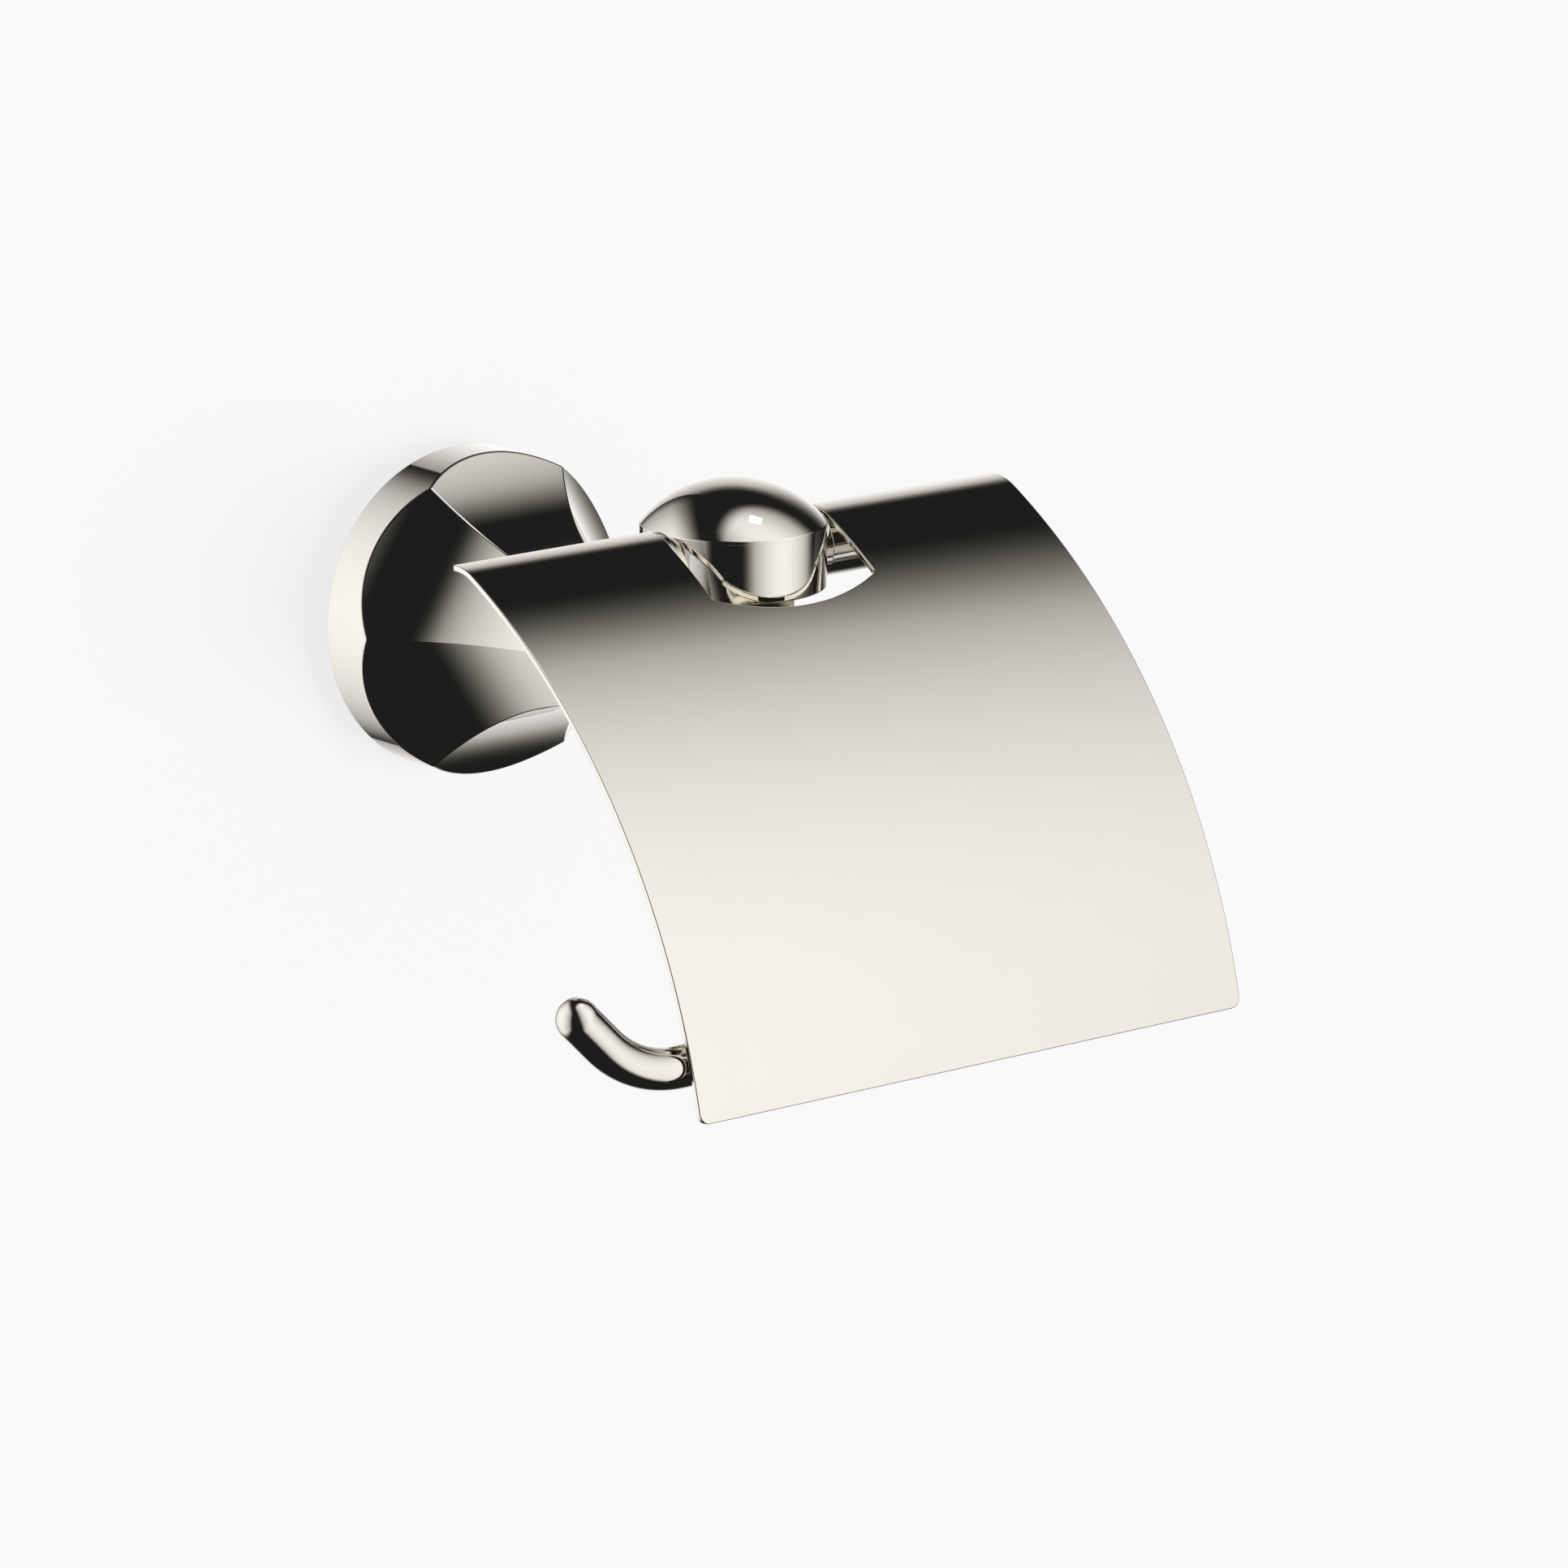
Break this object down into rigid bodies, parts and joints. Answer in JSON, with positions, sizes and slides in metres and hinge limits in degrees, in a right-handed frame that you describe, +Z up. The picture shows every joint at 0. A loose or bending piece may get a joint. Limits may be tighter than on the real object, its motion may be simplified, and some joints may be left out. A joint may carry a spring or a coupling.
{
  "type": "toilet paper holder",
  "caption": "Wall-mounted toilet paper holder: a hexagonal neck carries a bent bar, open at the left, for a roll, and a curved cover that hinges over it.",
  "frame": {"origin": "centre of the rosette's back face, on the wall", "axes": "+Y into the wall, -Y out towards the user, +X to the user's right, +Z up"},
  "size_m": [0.1458, 0.148, 0.0926],
  "materials": {
    "polished_nickel": "mirror polished, warm tone",
    "plain_steel": "zinc plated",
    "black_rubber": "matt",
    "white_plastic": "smooth acetal"
  },
  "bodies": {
    "bracket": {"rosette": "polished_nickel", "seal_ring": "black_rubber", "wall_plate": "plain_steel", "rosette_screw": "plain_steel", "elbow": "polished_nickel", "arm_bolt": "plain_steel", "arm_washer": "plain_steel", "arm_dowel": "plain_steel", "hinge_block": "polished_nickel", "dome_cap": "polished_nickel", "block_bolt": "plain_steel", "bar_screw": "plain_steel", "roll_bar": "polished_nickel", "saddle_collar_left": "polished_nickel", "saddle_collar_right": "polished_nickel", "end_washer": "polished_nickel", "end_screw": "plain_steel"},
    "cover": {"cover_plate": "polished_nickel", "hinge_sleeve_left": "polished_nickel", "hinge_sleeve_right": "polished_nickel", "bearing_left": "white_plastic", "bearing_right": "white_plastic"}
  },
  "joints": [
    {"name": "cover_hinge", "type": "hinge", "parent": "bracket", "child": "cover", "pos_m": [0, -0.0806, 0.023], "axis": [-1, 0, 0], "range_deg": [0, 110]}
  ]
}
